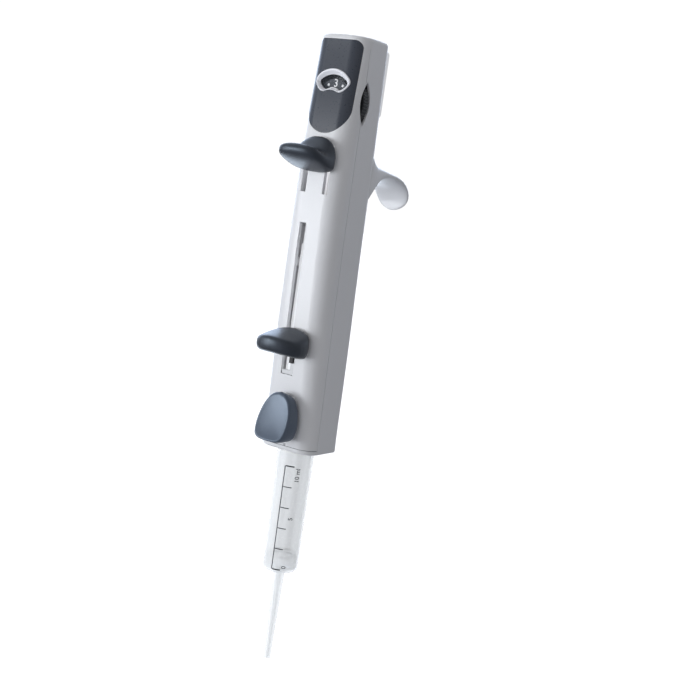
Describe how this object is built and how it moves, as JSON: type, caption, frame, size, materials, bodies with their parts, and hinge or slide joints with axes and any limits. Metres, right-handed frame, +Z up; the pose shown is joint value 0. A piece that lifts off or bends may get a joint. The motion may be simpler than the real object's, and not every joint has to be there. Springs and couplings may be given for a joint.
{
  "type": "manual repeating pipette",
  "caption": "Hand-operated repeating pipette: white two-part handle with stroke, filling and lock levers, a numbered dial behind a window, a finger hook and a graduated dispenser tip.",
  "frame": {"origin": "on the tip and piston axis, at the tip seat in the foot of the handle", "axes": "+Z up along the tip and piston axis towards the top of the handle, -Y towards the levers, +Y towards the finger hook, +X to the right as seen from the front"},
  "size_m": [0.0314, 0.0897, 0.3017],
  "materials": {
    "shell_white": "satin",
    "panel_slate": "gloss",
    "bezel_silver": "satin",
    "lens_clear": "clear",
    "label_white": "gloss",
    "frame_grey": "matte",
    "steel": "satin",
    "spring_steel": "satin",
    "rack_grey": "satin",
    "insert_white": "matte",
    "buffer_black": "matte",
    "lever_slate": "matte",
    "lock_slate": "matte",
    "slide_grey": "satin",
    "gripper_black": "satin",
    "dial_slate": "matte",
    "wheel_black": "satin",
    "mask_grey": "matte",
    "tip_clear": "translucent",
    "piston_natural": "satin",
    "seal_natural": "satin"
  },
  "bodies": {
    "housing": {"front_shell": "shell_white", "rear_shell": "shell_white", "finger_hook": "shell_white", "base_collar": "shell_white", "display_panel": "panel_slate", "window_bezel": "bezel_silver", "window_lens": "lens_clear", "label_plate": "label_white", "guide_frame": "frame_grey", "dial_axle": "steel", "detent_spring": "spring_steel", "slot_insert": "insert_white", "end_stop_buffer": "buffer_black", "lock_pin": "steel", "tip_clip": "spring_steel", "housing_screws": "steel", "return_spring_left": "spring_steel", "return_spring_right": "spring_steel"},
    "filling": {"rack_bar": "rack_grey", "filling_lever": "lever_slate", "piston_gripper": "gripper_black"},
    "left_jaw": {"jaw_left": "gripper_black"},
    "right_jaw": {"jaw_right": "gripper_black"},
    "stroke": {"stroke_slide": "slide_grey", "stroke_lever": "lever_slate", "pawl_pin": "steel"},
    "ratchet_pawl": {"pawl": "steel"},
    "dial": {"number_dial": "dial_slate", "thumbwheel": "wheel_black"},
    "mask": {"step_mask": "mask_grey"},
    "lock": {"lock_lever": "lock_slate", "lock_core": "gripper_black"},
    "tip": {"tip_barrel": "tip_clear"},
    "piston": {"tip_piston": "piston_natural", "piston_seal": "seal_natural"}
  },
  "joints": [
    {"name": "stroke_travel", "type": "slide", "parent": "housing", "child": "stroke", "axis": [0, 0, -1], "range_m": [0, 0.012], "stiffness_N_per_m": 120, "springref_m": -0.008, "deforming": ["return_spring_left", "return_spring_right"]},
    {"name": "pawl_pivot", "type": "hinge", "parent": "stroke", "child": "ratchet_pawl", "pos_m": [-0.0029, -0.0035, 0.0975], "axis": [-1, 0, 0], "range_deg": [0, 6], "stiffness_Nm_per_rad": 0.0005, "springref_deg": -5.73},
    {"name": "filling_travel", "type": "slide", "parent": "housing", "child": "filling", "axis": [0, 0, 1], "range_m": [0, 0.0513]},
    {"name": "left_jaw_travel", "type": "slide", "parent": "filling", "child": "left_jaw", "axis": [-1, 0, 0], "range_m": [0, 0.0015]},
    {"name": "right_jaw_travel", "type": "slide", "parent": "filling", "child": "right_jaw", "axis": [1, 0, 0], "range_m": [0, 0.0015]},
    {"name": "dial_turn", "type": "hinge", "parent": "housing", "child": "dial", "pos_m": [0, -0.004, 0.164], "axis": [0, -1, 0], "range_deg": [-120, 120]},
    {"name": "mask_travel", "type": "slide", "parent": "housing", "child": "mask", "axis": [0, 0, 1], "range_m": [-0.002, 0.002]},
    {"name": "lock_turn", "type": "hinge", "parent": "housing", "child": "lock", "pos_m": [0, -0.0166, 0.0239], "axis": [-1, 0, 0], "range_deg": [0, 45]},
    {"name": "tip_release", "type": "slide", "parent": "housing", "child": "tip", "axis": [0, 0, -1], "range_m": [0, 0.025]},
    {"name": "piston_travel", "type": "slide", "parent": "tip", "child": "piston", "axis": [0, 0, 1], "range_m": [0, 0.0513]}
  ],
  "couplings": [
    {"joint": "mask_travel", "follows": "dial_turn", "m_per_rad": -0.00095493},
    {"joint": "left_jaw_travel", "follows": "lock_turn", "m_per_rad": 0.0019099},
    {"joint": "right_jaw_travel", "follows": "lock_turn", "m_per_rad": 0.0019099},
    {"joint": "piston_travel", "follows": "filling_travel", "ratio": 1}
  ]
}
